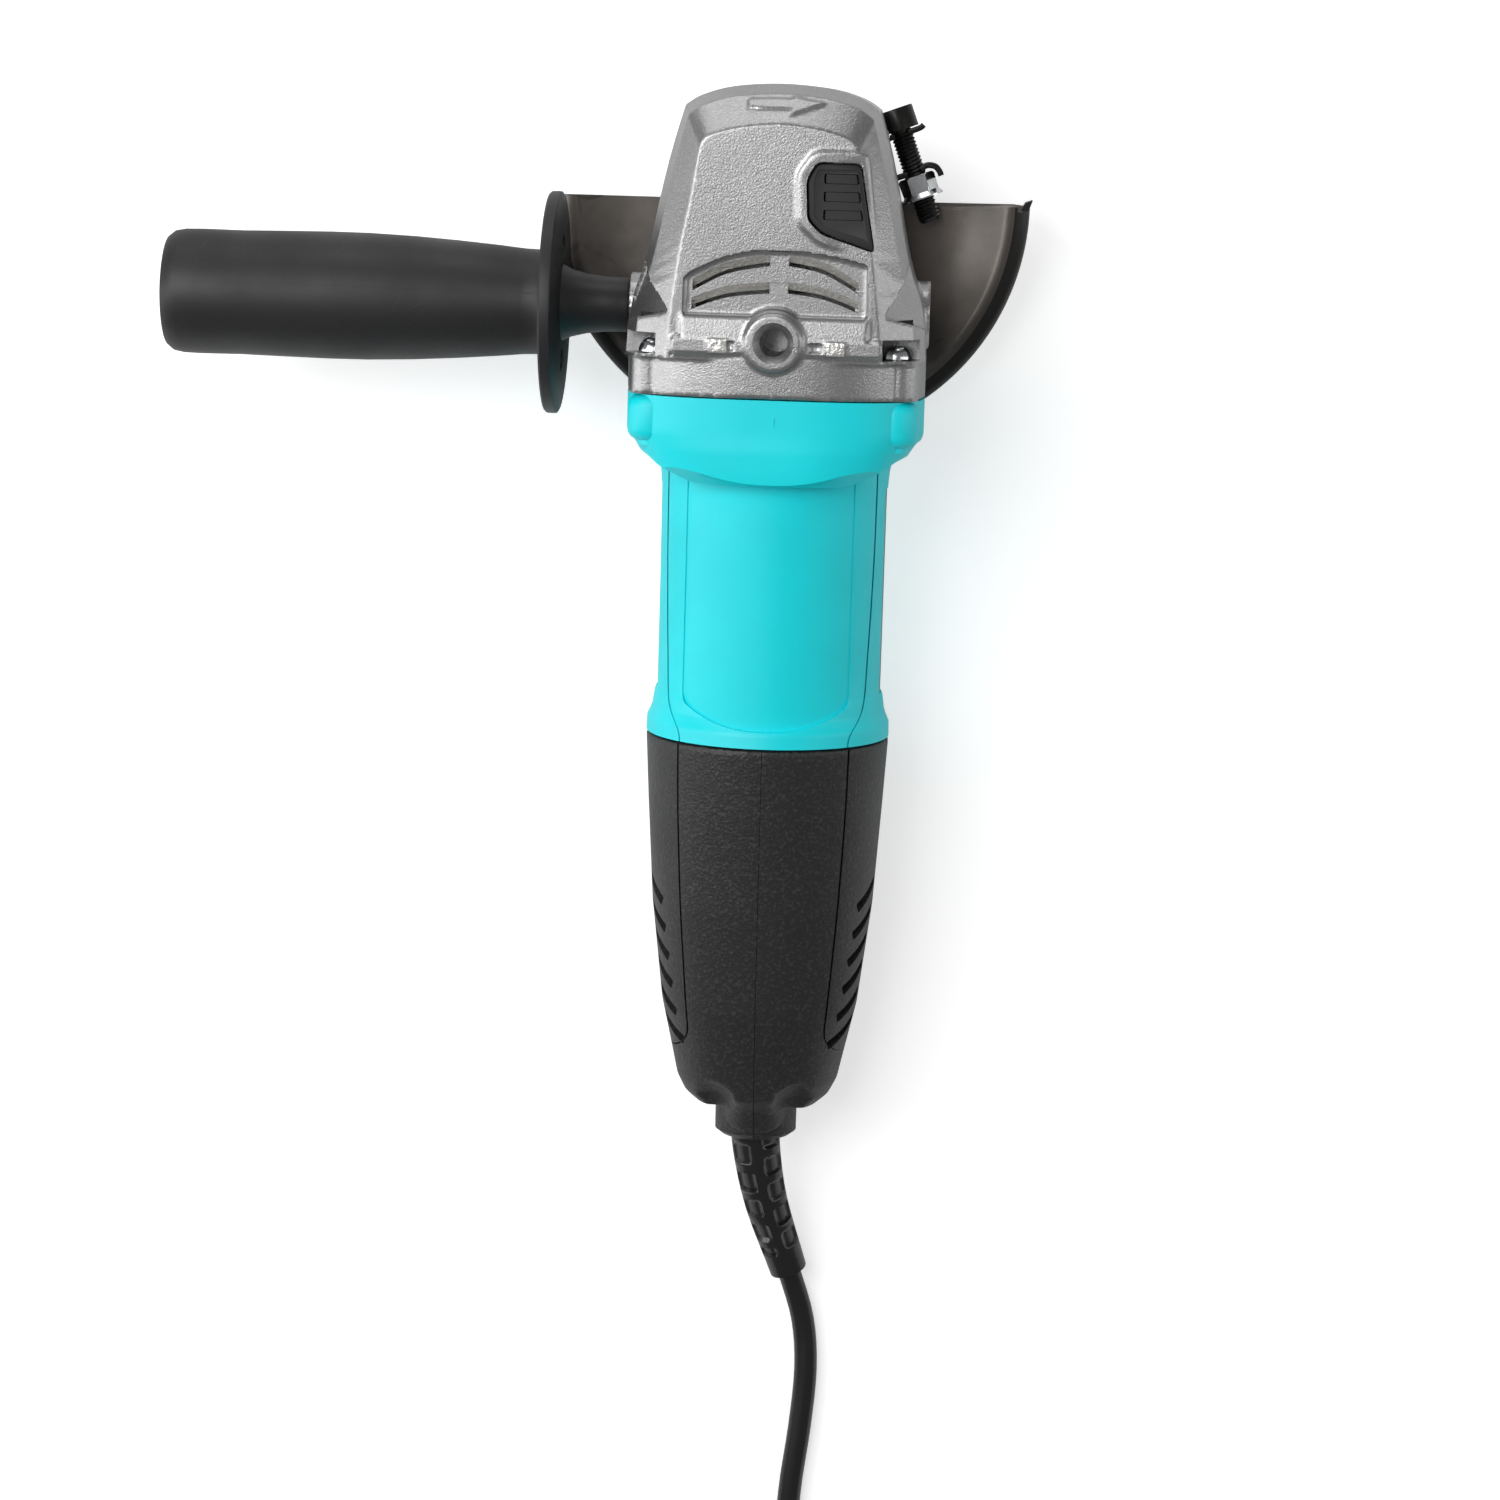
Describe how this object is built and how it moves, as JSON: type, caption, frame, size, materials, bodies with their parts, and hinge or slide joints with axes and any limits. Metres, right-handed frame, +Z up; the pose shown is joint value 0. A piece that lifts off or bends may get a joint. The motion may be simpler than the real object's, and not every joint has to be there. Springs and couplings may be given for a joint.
{
  "type": "angle grinder",
  "caption": "Corded angle grinder: cast gear head, cyan motor housing, black tail, side handle, half-round disc guard, spindle lock, and a cord with its plug.",
  "frame": {"origin": "on the ground under the middle of the tool's box, cord left out", "axes": "+Y runs from the tail to the gear head, +Z up, +X towards the lock button's side. The tool lies on its guard rim and tail, nose up about 9.5 degrees."},
  "size_m": [0.2252, 0.4991, 0.1008],
  "materials": {
    "cast_aluminium": "sand-cast, fine grain, tumbled",
    "cyan_plastic": "satin moulded nylon, bright cyan",
    "black_plastic": "fine-grained moulding",
    "grey_plastic": "fine-grained moulding",
    "cord_pvc": "satin black PVC",
    "black_rubber": "matt black rubber",
    "black_steel": "blackened steel with scuffs",
    "zinc_steel": "zinc plated",
    "steel": "ground and turned steel",
    "lamination_steel": "stacked electrical sheet",
    "copper": "enamelled copper wire, bare copper bars",
    "brass": "pressed brass",
    "carbon": "graphite"
  },
  "bodies": {
    "base": {"gear_housing": "cast_aluminium", "bearing_box": "cast_aluminium", "motor_housing": "cyan_plastic", "rear_cover_left": "black_plastic", "rear_cover_right": "black_plastic", "side_handle_grip": "black_plastic", "switch_body": "black_plastic", "cord_clamp": "black_plastic", "air_baffle": "black_plastic", "cord_boot": "cord_pvc", "cord_tube": "cord_pvc", "cord_coil": "cord_pvc", "mains_plug": "cord_pvc", "dust_seal": "black_rubber", "rear_bearing_bush": "black_rubber", "side_handle_stud": "zinc_steel", "cord_clamp_screw": "zinc_steel", "gear_housing_screw_1": "zinc_steel", "gear_housing_screw_2": "zinc_steel", "gear_housing_screw_3": "zinc_steel", "gear_housing_screw_4": "zinc_steel", "bearing_box_screw_1": "zinc_steel", "bearing_box_screw_2": "zinc_steel", "bearing_box_screw_3": "zinc_steel", "bearing_box_screw_4": "zinc_steel", "rear_cover_screw_1": "zinc_steel", "rear_cover_screw_2": "zinc_steel", "needle_bearing": "steel", "spindle_bearing_outer": "steel", "front_bearing": "steel", "rear_bearing": "steel", "lock_spring": "steel", "brush_spring_left": "steel", "brush_spring_right": "steel", "stator_core": "lamination_steel", "field_coil_left": "copper", "field_coil_right": "copper", "brush_holder_left": "brass", "brush_holder_right": "brass"},
    "armature": {"armature_shaft": "steel", "armature_core": "lamination_steel", "armature_windings": "copper", "commutator": "copper", "cooling_fan": "grey_plastic", "pinion_gear": "steel", "pinion_nut": "steel"},
    "spindle_unit": {"spindle": "steel", "crown_gear": "steel", "spindle_bearing_inner": "steel", "inner_flange": "steel", "lock_nut": "black_steel"},
    "lock": {"lock_button": "grey_plastic", "lock_pin": "steel"},
    "guard": {"guard_shell": "black_steel", "clamp_band": "black_steel", "clamp_screw": "black_steel", "clamp_nut": "zinc_steel"},
    "slider": {"switch_slider": "black_plastic"},
    "brush_left": {"carbon_brush_left": "carbon"},
    "brush_right": {"carbon_brush_right": "carbon"}
  },
  "joints": [
    {"name": "armature_spin", "type": "hinge", "parent": "base", "child": "armature", "pos_m": [0.04639, 0.12461, 0.06123], "axis": [0, 0.9862, 0.1657], "continuous": true},
    {"name": "spindle_spin", "type": "hinge", "parent": "base", "child": "spindle_unit", "pos_m": [0.04639, 0.12461, 0.06123], "axis": [-0.0454, -0.1655, 0.9852], "continuous": true},
    {"name": "spindle_lock", "type": "slide", "parent": "base", "child": "lock", "axis": [0.0454, 0.1655, -0.9852], "range_m": [0, 0.0045], "stiffness_N_per_m": 600, "springref_m": -0.003, "deforming": ["lock_spring"]},
    {"name": "guard_turn", "type": "hinge", "parent": "base", "child": "guard", "pos_m": [0.04639, 0.12461, 0.06123], "axis": [-0.0454, -0.1655, 0.9852], "range_deg": [-60, 90]},
    {"name": "switch_slide", "type": "slide", "parent": "base", "child": "slider", "axis": [0, 0.9862, 0.1657], "range_m": [0, 0.006]},
    {"name": "brush_left_slide", "type": "slide", "parent": "base", "child": "brush_left", "axis": [-0.999, 0.0075, -0.0447], "range_m": [0, 0.0025], "stiffness_N_per_m": 300, "springref_m": -0.006, "deforming": ["brush_spring_left"]},
    {"name": "brush_right_slide", "type": "slide", "parent": "base", "child": "brush_right", "axis": [0.999, -0.0075, 0.0447], "range_m": [0, 0.0025], "stiffness_N_per_m": 300, "springref_m": -0.006, "deforming": ["brush_spring_right"]}
  ],
  "couplings": [
    {"joint": "spindle_spin", "follows": "armature_spin", "ratio": -0.33333}
  ]
}
